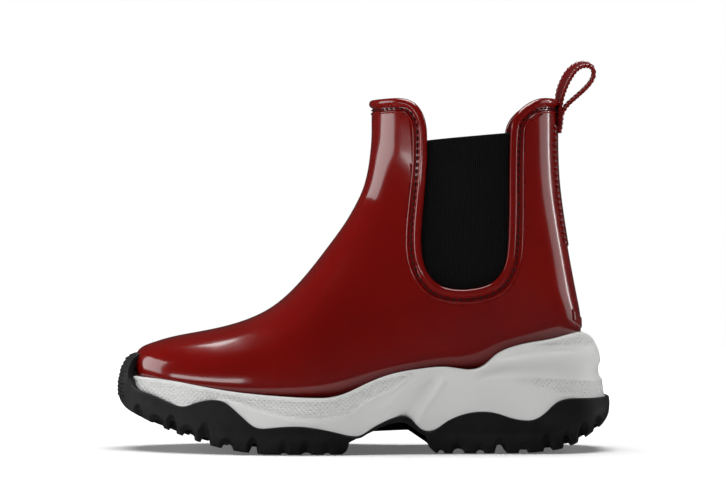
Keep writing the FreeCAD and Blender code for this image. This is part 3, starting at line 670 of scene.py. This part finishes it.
def make_collar_stitches():
    """One seam of separate stitches in the band's channel, split as the design splits it."""
    t, phi, inward = band_frame()
    row = over_surface(t, phi, inward, 5.1, 0.0)
    run = np.concatenate([[0], np.cumsum(np.linalg.norm(np.diff(row, axis=0), axis=1))])
    at = np.linspace(0, run[-1], int(run[-1] / 3.7), endpoint=False)
    centres = np.stack([np.interp(at, run, row[:, k]) for k in range(3)], -1)
    ahead = np.stack([np.interp(at + 0.6, run, row[:, k]) for k in range(3)], -1)
    along = ahead - centres
    along /= np.linalg.norm(along, axis=1, keepdims=True)
    normals = upper_slopes(t, phi)[0]
    up = np.stack([np.interp(at, run, normals[:, k]) for k in range(3)], -1)
    up -= (up * along).sum(-1, keepdims=True) * along
    up /= np.linalg.norm(up, axis=1, keepdims=True)
    level = (centres[:, 0] < 15.5) | (centres[:, 0] > 104.0)
    groups = (("collar_stitches", level, "collar_stitching"),
              ("gore_stitches_lateral", ~level & (centres[:, 1] < 0), "gore_stitching_lateral"),
              ("gore_stitches_medial", ~level & (centres[:, 1] > 0), "gore_stitching_medial"))
    for name, chosen, node_name in groups:
        obj = capsule_row(name, (centres + up * -0.1)[chosen], along[chosen], up[chosen], 2.7, 0.85)
        finished(obj, THREAD, "boot", "thread", node_name)


def make_lining():
    """Knitted sock against the inside of the shell, cut away round the gores."""
    sock = shell_of_last("lining", WALL + 0.15, WALL + 1.05, 120, 112)
    boolean(sock, prism("cutter", under_collar(1.4)), "INTERSECT")
    opening = beside(resampled(GORE_OPENING, 1.5), 8.4)
    boolean(sock, prism("cutter", np.vstack([opening, [(92.4, 215.0), (26.6, 215.0)]])), "DIFFERENCE")
    tidy_mesh(sock)
    return finished(sock, KNIT, "boot", "black_lining", "lining_sock")


GORE_TOP = [(35.1, 176.5), (84.0, 179.8)]


def make_gore(name, lateral, node_name):
    """One elastic panel behind its opening: upright rows of points from the bottom of the U to the top."""
    outline = beside(resampled(GORE_OPENING, 1.0), 7.6)
    low, high = outline[:, 0].min(), outline[:, 0].max()
    slope = (GORE_TOP[1][1] - GORE_TOP[0][1]) / (GORE_TOP[1][0] - GORE_TOP[0][0])
    columns, rows = 64, 72
    xs = (low + high) / 2 + (high - low) / 2 * np.sin(np.linspace(-1, 1, columns) * math.pi / 2)
    bottom = outline[:, 1].argmin()
    left, right = outline[:bottom + 1][::-1], outline[bottom:]
    layers = []
    for inset in (WALL + 0.2, WALL + 1.7):
        for x in xs:
            half = left if x < outline[bottom, 0] else right
            order = np.argsort(half[:, 0])
            floor = np.interp(x, half[order, 0], half[order, 1])
            top = GORE_TOP[0][1] + slope * (x - GORE_TOP[0][0])
            for z in np.linspace(min(floor, top - 1.0), top, rows):
                t, phi = find(x, z, lateral)
                layers.append(upper(t, phi, inset))
    n = columns * rows
    faces = grid_faces(columns, rows)
    edge = [k for k in range(rows)] + [c * rows + rows - 1 for c in range(1, columns)]
    edge += [(columns - 1) * rows + k for k in range(rows - 2, -1, -1)]
    edge += [c * rows for c in range(columns - 2, 0, -1)]
    sides = [(a, b, n + b, n + a) for a, b in zip(edge, edge[1:] + edge[:1])]
    obj = mesh_object(name, np.array(layers), faces + [tuple(n + k for k in f[::-1]) for f in faces] + sides)
    tidy_mesh(obj)
    finished(obj, ELASTIC, "boot", "black_elastic", node_name)
    return obj


def bar_of_rows(name, rows):
    """A closed bar: each row runs the length of it, and both ends are flat."""
    count = len(rows[0])
    ends = [tuple(r * count + k for r in range(len(rows))) for k in (0, count - 1)]
    faces = grid_faces(len(rows), count, close_rows=True) + [ends[0], ends[1][::-1]]
    obj = mesh_object(name, np.concatenate(rows), faces)
    tidy_mesh(obj)
    return obj


# ---- back of the shaft ---------------------------------------------------------------------------
def on_back(t, wide):
    """Points of the upper at a distance across from the middle of the back, and the normals there."""
    share = np.abs(wide) / ROW[5](t)
    flat = ROW[8](t)
    turn = np.arcsin(share ** (flat / 2)) / (math.pi / 2)
    phi = -np.sign(wide) * turn ** (2 / flat) * math.pi / 2
    return upper(t, phi), upper_slopes(t, phi)[0]


# Cross-section of a strip on the back: share of the half width, share of the thickness.
STRIP_EDGE = [(1.0, 0.1), (0.985, 0.75), (0.95, 1.0), (0.90, 1.0), (0.86, 0.85), (0.8, 0.75), (0.5, 0.8)]
STRIP_SECTION = [(-share, lift) for share, lift in STRIP_EDGE] + [(0.0, 0.8)] + STRIP_EDGE[::-1]


def back_strip(name, z_low, z_high, half, thick, cord=0.0, pitch=3.0):
    """A strip bonded down the back of the shaft, its edges corded with rounded beads."""
    count = max(int((z_high - z_low) / 0.5), 14)
    zs = np.linspace(z_low, z_high, count)
    heel = TABLE_T > KNOTS[12]
    t = np.interp(zs, ROW[1](TABLE_T)[heel], TABLE_T[heel])
    ends = np.sqrt(smooth_rise(np.minimum(zs - z_low, z_high - zs), -0.05, 1.0))
    beads = cord * np.cos(TURN * zs / pitch)
    rows = []
    for share, lift in STRIP_SECTION:
        corded = beads * bump_at(abs(share), 0.95, 0.08, 0.03)
        p, n = on_back(t, share * half + np.sign(share) * corded)
        rows.append(p + n * (lift * thick * ends + corded * ends)[:, None])
    for share in (1.0, 0.5, 0.0, -0.5, -1.0):
        p, n = on_back(t, share * half)
        rows.append(p - n * 0.4)
    return bar_of_rows(name, rows)


def make_backstay():
    strip = back_strip("backstay", 116.0, 186.0, 11.0, 1.1, 0.45, 3.4)
    finished(strip, TAPE, "boot", "red_pvc_edge", "backstay_strip")
    heel = back_strip("heel_tab_piece", 69.0, 75.8, 16.0, 0.8)
    finished(heel, TAPE, "boot", "red_pvc_edge", "heel_tab")
    zs = np.arange(119.0, 184.0, 3.4)
    inner = TABLE_T > KNOTS[12]
    t = np.interp(zs, ROW[1](TABLE_T)[inner], TABLE_T[inner])
    centres, along, up = [], [], []
    for wide in (-8.2, 8.2):
        p, n = on_back(t, np.full_like(t, wide))
        ahead = on_back(t + 0.5, np.full_like(t, wide))[0] - p
        centres.append(p + n * 0.95)
        along.append(ahead / np.linalg.norm(ahead, axis=1, keepdims=True))
        up.append(n)
    stitches = capsule_row("backstay_stitches", *(np.concatenate(c) for c in (centres, along, up)), 2.4, 0.8)
    finished(stitches, THREAD, "boot", "thread", "backstay_stitching")


# ---- pull loop -----------------------------------------------------------------------------------
LOOP_LINE = [(112.6, 187.5), (112.4, 192.0), (112.6, 197.5), (113.3, 202.8), (115.2, 208.8), (117.6, 213.6),
             (120.6, 217.6), (124.2, 220.1), (127.8, 220.6), (131.2, 219.3), (132.6, 216.2), (131.6, 212.0),
             (128.7, 208.0), (125.2, 204.6), (120.2, 200.2), (116.6, 196.6), (114.6, 193.4), (113.4, 190.3),
             (113.1, 187.5)]
LOOP_TAB = [(112.2, 181.5), (112.7, 185.0), (113.1, 188.0), (113.4, 191.5)]


def strap(name, line, width, twist, thick=1.5, bead=1.25, pitch=2.6):
    """A flat strap with beaded edges along a side-view line, turned a little about that line."""
    path = resampled(line, 0.45)
    run = np.concatenate([[0], np.cumsum(np.linalg.norm(np.diff(path, axis=0), axis=1))])
    tangent = np.gradient(path, axis=0)
    tangent /= np.linalg.norm(tangent, axis=1, keepdims=True)
    count = len(path)
    along = np.stack([tangent[:, 0], np.zeros(count), tangent[:, 1]], -1)
    across = np.tile([0.0, 1.0, 0.0], (count, 1))
    normal = np.cross(along, across)
    turn = np.interp(run / run[-1], np.linspace(0, 1, len(twist)), np.radians(twist))[:, None]
    wide = across * np.cos(turn) + normal * np.sin(turn)
    flat = normal * np.cos(turn) - across * np.sin(turn)
    middle = np.insert(path, 1, 0.0, axis=1)
    beads = 0.22 * np.cos(TURN * run / pitch)[:, None]
    edge = width / 2 - bead
    half = [(edge - 1.3, thick / 2), (edge - 5.0, thick / 2 + 0.1)]
    ring = [(-w, h) for w, h in half] + half[::-1]
    turns = np.radians([130, 90, 50, 15, -15, -50, -90, -130])
    right = [(edge + bead * math.cos(a), bead * math.sin(a), a) for a in turns]
    left = [(-edge - bead * math.cos(a), bead * math.sin(a), math.pi - a) for a in turns[::-1]]

    def beaded(w, h, a):
        return middle + wide * (w + beads * math.cos(a)) + flat * (h + beads * math.sin(a))

    rows = [middle + wide * w + flat * h for w, h in ring]
    rows += [beaded(*place) for place in right]
    rows += [middle + wide * w - flat * h for w, h in ring[::-1]]
    rows += [beaded(*place) for place in left]
    return bar_of_rows(name, rows)


def make_pull_loop():
    loop = strap("loop", LOOP_LINE, 15.0, (0, 6, 13, 15, 12, 6, 2, 0, 0, 0))
    finished(loop, TAPE, "pull_loop", "red_pvc_edge", "pull_loop")
    tab = strap("loop_tab", LOOP_TAB, 15.0, (0, 0), 3.0, 1.6)
    finished(tab, TAPE, "boot", "red_pvc_edge")


# ---- midsole -------------------------------------------------------------------------------------
GRAIN_EDGE = [(-150.0, 27.0), (-92.0, 26.5), (-80.0, 30.5), (-73.6, 29.3), (-57.8, 24.7), (-40.2, 20.5),
              (-23.5, 19.1), (-7.7, 21.9), (2.4, 29.3), (17.4, 36.3), (29.4, 45.3), (32.0, 60.0)]
SOFT_DIAGONAL = [(11.4, 25.3), (27.4, 39.3), (35.4, 44.3)]
CREASE = [(45.4, 40.8), (41.4, 34.3), (35.4, 26.3), (30.4, 18.3)]
HEEL_RIDGE = [(60.0, 39.6), (72.4, 41.9), (85.4, 42.8), (97.4, 42.3), (112.4, 41.3), (125.4, 40.3),
              (142.0, 39.4)]
BEVEL = [(60.0, 44.0), (68.0, 49.5), (74.4, 53.3), (83.4, 54.3), (97.4, 56.3), (117.4, 57.3), (130.0, 55.0),
         (142.0, 46.0)]
LENS_EDGE = [(80.0, 42.0), (87.4, 39.3), (100.4, 36.8), (112.4, 33.3), (122.4, 31.3), (142.0, 30.0)]


def relief(x, z):
    """How far the midsole's wall stands out from its plain form, and where it carries the dotted grain."""
    under = joint_z(x) - z
    edge, _ = distance_to(GRAIN_EDGE[2:-1], x, z)
    grain = smooth_rise(z - np.interp(x, *np.transpose(GRAIN_EDGE)), -0.2, 1.0) * smooth_rise(under, 0.8, 2.2)
    out = -0.7 * grain + 0.55 * np.exp(-(edge / 1.2) ** 2)
    out = out + 0.6 * np.exp(-(distance_to(SOFT_DIAGONAL, x, z)[0] / 2.2) ** 2)
    out = out + 1.1 * np.exp(-(distance_to(CREASE, x, z)[0] / 1.5) ** 2)
    valley = np.array(CREASE) - (6.5, -1.0)
    out = out - 1.7 * np.exp(-(distance_to(valley, x, z)[0] / 4.0) ** 2)
    low, high = (np.interp(x, *np.transpose(curve)) for curve in (HEEL_RIDGE, BEVEL))
    share = np.clip((z - low) / (high - low), 0, 1)
    out = out - 2.0 * np.sin(math.pi * share) ** 0.7 * smooth_rise(x, 60, 76)
    lens = np.interp(x, *np.transpose(LENS_EDGE))
    inside = smooth_rise(z - lens, -0.2, 0.8) * smooth_rise(low - z, -0.2, 0.8) * smooth_rise(x, 84, 92)
    out = out - 0.6 * inside
    dots = np.clip(grain + inside * smooth_rise(x, 93, 98), 0, 1)
    return out * smooth_rise(under, 0.5, 2.5), dots


def spine(x, y, share):
    """Points part of the way from the outline to the middle line of the sole."""
    sx = np.clip(x, -100, 100)
    sy = np.interp(sx, (-100, 0), (5, 0))
    return x + (sx - x) * share, y + (sy - y) * share


def drawn_in(x, y, z):
    """The midsole's wall leans in above Z 26, towards X -40."""
    lean = np.clip((z - 26.0) / 49.0, 0, None)
    return -40 + (x + 40) * (1 - 0.037 * lean), y * (1 - 0.10 * lean)


def make_midsole():
    plan, normal = closed_plan(MIDSOLE_PLAN, 950)
    x, y = plan.T
    nx, ny = normal.T
    top = joint_z(x - nx * 0.5)
    for _ in range(3):
        top = joint_z(drawn_in(x, y, top)[0])
    low = wave_z(x) - np.minimum(2.0, 0.5 * (wave_z(x) - bottom_z(x)))
    rows, dots = [], []
    for share in (1.0, 0.7, 0.45, 0.3, 0.2, 0.13, 0.08, 0.045):
        px, py = spine(*drawn_in(x, y, top), share)
        rows.append(np.stack([px, py, joint_z(px) - 0.3], -1))
        dots.append(np.zeros_like(x))
    for inset, drop in ((1.2, 0.1), (0.6, 0.2), (0.2, 0.5), (0.03, 0.9)):
        px, py = drawn_in(x, y, top - drop)
        rows.append(np.stack([px - nx * inset, py - ny * inset, top - drop], -1))
        dots.append(np.zeros_like(x))
    for share in np.linspace(0, 1, 46):
        z = (top - 1.3) * (1 - share) + low * share
        px, py = drawn_in(x, y, z)
        out, dotted = relief(px, z)
        rows.append(np.stack([px + nx * out, py + ny * out, z], -1))
        dots.append(dotted)
    for share in (0.1, 0.4, 1.0):
        px, py = spine(x, y, share)
        rows.append(np.stack([px, py, wave_z(px) - np.minimum(2.0, 0.5 * (wave_z(px) - bottom_z(px)))], -1))
        dots.append(np.zeros_like(x))
    count = len(x)
    faces = grid_faces(len(rows), count, close_columns=True) + first_and_last(count, len(rows))
    obj = mesh_object("midsole_piece", np.concatenate(rows), faces)
    grain = obj.data.attributes.new("grain", "FLOAT", "POINT")
    grain.data.foreach_set("value", np.concatenate(dots).astype(np.float32))
    tidy_mesh(obj)
    boolean(obj, solid_of_last("foot", 1.3, 130, 112), "DIFFERENCE")
    return finished(obj, WHITE, "boot", "white_foam", "midsole")


# ---- outsole -------------------------------------------------------------------------------------
# x, half width, height of the notch in the bottom edge, height and depth of the flute above it
LUG_GAPS = [(-128.0, 1.4, 3.4, 6.5, 2.4), (-116.2, 3.0, 3.0, 6.0, 2.4), (-107.5, 1.9, 6.4, 10.5, 3.0),
            (-98.2, 3.2, 4.8, 8.0, 2.8), (-88.6, 2.6, 3.8, 12.5, 2.8), (-76.0, 3.0, 3.0, 6.5, 2.4),
            (-61.3, 2.0, 5.6, 9.5, 3.6), (-44.0, 1.6, 0.9, 9.0, 1.6), (-31.4, 2.4, 1.2, 9.0, 2.2),
            (-19.9, 1.6, 0.9, 7.0, 1.4), (43.8, 1.6, 1.8, 4.5, 1.6), (53.6, 3.0, 2.6, 9.5, 2.6),
            (65.8, 2.0, 1.8, 6.5, 1.8), (77.2, 2.8, 5.8, 9.0, 3.4), (90.0, 2.4, 2.6, 6.0, 2.0),
            (103.9, 2.2, 3.6, 12.0, 2.6), (114.6, 1.8, 4.4, 10.0, 2.8), (123.4, 1.9, 4.4, 10.5, 2.8),
            (132.0, 1.4, 3.2, 8.0, 2.2)]
OPEN_GAPS = (-61.3, 53.6, 77.2)
TREAD_MIDDLE = (-102, -91, -80, -69, -52, -38, -25, 60.5, 72, 84, 97, 109)


def tread(x, y):
    """Height of the sole's underside above the ground line of the bottom curve."""
    out = np.zeros_like(x)
    side = smooth_rise(np.abs(y), 14.2, 15.2)
    for at, half, notch, _, _ in LUG_GAPS:
        across = np.ones_like(x) if at in OPEN_GAPS else side
        outer = smooth_rise(np.abs(y), 14, 34)
        deep = max(notch, 2.2) * outer + min(notch, 3.0) * (1 - outer)
        edge = notch + (deep - notch) * smooth_rise(half_width(x) - np.abs(y), 0.5, 5)
        out = np.maximum(out, edge * bump_at(x, at, half, 0.5) * across)
    sole = np.maximum(bump_at(x, -62, 52, 2), bump_at(x, 84, 38, 2))
    for at in TREAD_MIDDLE:
        middle = bump_at(x - 0.35 * np.abs(y), at, 1.5, 0.5) * smooth_rise(15.0 - np.abs(y), -0.3, 0.3)
        out = np.maximum(out, 2.4 * middle)
    channels = bump_at(np.abs(y), 16.0, 1.3, 0.4) * sole
    return np.maximum(out, 2.4 * channels)


def arch(x, middle, half):
    """A round-topped notch, 0 to 1."""
    return np.sqrt(np.clip(1 - ((x - middle) / (half + 0.3)) ** 2, 0, 1))


def lug_relief(x, z, floor):
    """How far the outsole's wall stands in from its plain form: round lugs parted by tapering flutes."""
    up = z - floor
    deep, tall = np.zeros_like(x), np.zeros_like(x)
    for at, half, _, height, depth in LUG_GAPS:
        taper = smooth_rise(height - up, -0.5, 0.6 * height)
        wide = (half + 1.6) * (0.45 + 0.55 * taper)
        groove = np.clip(1 - ((x - at) / wide) ** 2, 0, 1) ** 1.5
        deep = np.maximum(deep, depth * groove * taper)
        tall = np.maximum(tall, np.exp(-((x - at) / 14.0) ** 2))
    bulge = np.sin(math.pi * np.clip(up / 11.0, 0, 1)) * tall * smooth_rise(x, -132, -118)
    return deep - 0.8 * bulge


def half_width(x):
    """Rough half width of the outsole at x."""
    return np.interp(x, *np.transpose([(px, -py) for px, py in OUTSOLE_PLAN[:16]]))


def bumper_lean(z):
    return np.interp(z, (38.0, 46.0, 51.8, 54.8), (0.0, 1.7, 4.6, 8.4))


def make_outsole():
    plan, normal = closed_plan(OUTSOLE_PLAN, 1320)
    x, y = plan.T
    nx, ny = normal.T
    bumper = smooth_rise(-x, 134.2, 135.6)
    top = wave_z(x) * (1 - bumper) + 54.8 * bumper
    base = wave_z(x)
    floor = bottom_z(x)
    notch = sum(g[2] * arch(x, g[0], g[1]) for g in LUG_GAPS)
    foot = np.minimum(floor + notch, top - 1.5)

    def row(inset, z, sink=0.0):
        inset = inset + bumper_lean(z) * bumper + sink
        return np.stack([x - nx * inset, y - ny * inset, z], -1)

    rows = []
    for share in (1.0, 0.5):
        px, py = spine(x, y, share)
        lower = np.minimum(1, 0.2 * (wave_z(px) - bottom_z(px)))
        rows.append(np.stack([px, py, wave_z(px) - 0.6 - lower], -1))
    rows.append(row(5.0, base - 0.7))
    rows.append(row(4.2, base - 0.4))
    rows.append(row(3.6, (base + top) / 2 - 0.3))
    for inset, drop in ((2.6, 0.7), (1.5, 0.15), (0.8, 0.0), (0.3, 0.2), (0.05, 0.6)):
        rows.append(row(inset, top - drop))
    knurl = smooth_rise(-x, 136.5, 137.5)
    for share in np.linspace(0, 1, 44):
        z = (top - 1.0) * (1 - share) + (foot + 1.0) * share
        flute = lug_relief(x, z, floor)
        beads = np.abs(np.sin(math.pi * (y + 0.6 * z) / 4.2) * np.sin(math.pi * z / 2.3))
        rise = 0.9 * knurl * beads * smooth_rise(z, 29.5, 31.0) * smooth_rise(54.4 - z, -0.5, 0.8)
        rows.append(row(0.0, z, flute - rise))
    for inset, lift in ((0.1, 0.6), (0.4, 0.2), (0.9, 0.0)):
        rows.append(row(inset + 0.6 * (notch > 1), foot + lift))
    for inset in np.concatenate([np.arange(1.5, 12, 0.9), np.arange(12, 20, 1.0)]):
        px, py = x - nx * inset, y - ny * inset
        rows.append(np.stack([px, py, bottom_z(px) + tread(px, py)], -1))
    ex, ey = rows[-1][:, 0], rows[-1][:, 1]
    for share in np.linspace(0.05, 1.0, 22):
        px, py = spine(ex, ey, share)
        rows.append(np.stack([px, py, bottom_z(px) + tread(px, py)], -1))
    count = len(x)
    faces = grid_faces(len(rows), count, close_columns=True) + first_and_last(count, len(rows))
    obj = mesh_object("outsole_piece", np.concatenate(rows), faces)
    tidy_mesh(obj)
    return finished(obj, BLACK, "boot", "black_rubber", "outsole")


# ---- inside --------------------------------------------------------------------------------------
def make_footbed():
    """The lifting footbed keeps the design's shapes, with their own materials."""
    for name, mat, slot in (("footbed_foam", FOAM, "grey_foam"), ("footbed_cover", KNIT, "cover_cloth"),
                            ("arch_shank", FOAM, "shank_plate")):
        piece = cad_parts[name]
        piece.data.materials.clear()
        piece.data.materials.append(mat)


# ---- scene ---------------------------------------------------------------------------------------
def area_light(name, place, target, size, power):
    data = bpy.data.lights.new(name, "AREA")
    data.shape, data.size, data.size_y = "RECTANGLE", size[0], size[1]
    data.energy = power
    obj = bpy.data.objects.new(name, data)
    obj.location = place
    obj.rotation_euler = (Vector(target) - Vector(place)).to_track_quat("-Z", "Y").to_euler()
    bpy.context.scene.collection.objects.link(obj)


# Glow of the floor: (place, strength), in shares of the floor's side from its middle.
FLOOR_SIDE = 3.0
FLOOR_GLOW = ((0.09, (0.12,) * 3), (0.3, (1.0,) * 3))


def make_stage():
    """A white dome that only the camera sees, and a pale floor that glows white away from the boot."""
    bpy.ops.mesh.primitive_uv_sphere_add(segments=48, ring_count=24, radius=9.0, location=(0, 0, 0))
    dome = bpy.context.object
    dome.name = "backdrop"
    mat, _, shader = material("backdrop", (0, 0, 0), 1.0)
    shader.inputs["Emission Color"].default_value = (1, 1, 1, 1)
    shader.inputs["Emission Strength"].default_value = 1.0
    dome.data.materials.append(mat)
    for flag in ("visible_diffuse", "visible_glossy", "visible_shadow", "visible_transmission"):
        setattr(dome, flag, False)
    bpy.ops.mesh.primitive_plane_add(size=1, location=(0, 0, -0.0004))
    floor = bpy.context.object
    floor.name = "floor"
    floor.scale = (FLOOR_SIDE, FLOOR_SIDE, 1)
    mat, tree, shader = material("floor", (0.90, 0.90, 0.90), 1.0)
    shader.inputs["Specular IOR Level"].default_value = 0.0
    shader.inputs["Emission Strength"].default_value = 1.0
    place = node(tree, "ShaderNodeTexCoord")
    spread = node(tree, "ShaderNodeVectorMath", operation="LENGTH")
    tree.links.new(place.outputs["Object"], spread.inputs[0])
    glow = ramp(tree, spread.outputs["Value"], *FLOOR_GLOW)
    tree.links.new(glow, shader.inputs["Emission Color"])
    floor.data.materials.append(mat)
    floor.visible_glossy = False
    bpy.context.scene.view_settings.view_transform = "Standard"
    world = bpy.data.worlds.new("world")
    world.use_nodes = True
    world.node_tree.nodes["Background"].inputs["Color"].default_value = (0.03, 0.03, 0.03, 1)
    bpy.context.scene.world = world


# name, place, target, size, watts
LIGHTS = (
    ("heel_box", (1.25, 0.24, 0.42), (0.1, 0, 0.13), (0.6, 0.9), 1.7),
    ("heel_strip", (1.15, 0.42, 0.45), (0.1, 0, 0.13), (0.05, 0.9), 1.2),
    ("front_box", (-1.2, 0.1, 0.37), (0.0, 0, 0.12), (0.7, 0.72), 4.4),
    ("toe_box", (-0.5, -0.42, 0.035), (-0.1, 0, 0.045), (0.5, 0.07), 0.5),
    ("over", (0.0, 0.1, 1.7), (0, 0, 0.0), (1.5, 1.3), 36),
)


def make_camera():
    data = bpy.data.cameras.new("camera")
    data.lens, data.sensor_width = 142.3, 36.0
    obj = bpy.data.objects.new("camera", data)
    obj.location = (0.0, -1.65, 0.1186)
    obj.rotation_euler = (math.pi / 2, 0, 0)
    bpy.context.scene.collection.objects.link(obj)
    bpy.context.scene.camera = obj


make_upper()
make_edge_band()
make_collar_stitches()
make_lining()
make_gore("gore_panel_lateral", True, "gore_lateral")
make_gore("gore_panel_medial", False, "gore_medial")
make_backstay()
make_pull_loop()
make_midsole()
make_outsole()
make_footbed()
make_stage()
make_camera()
for light in LIGHTS:
    area_light(*light)
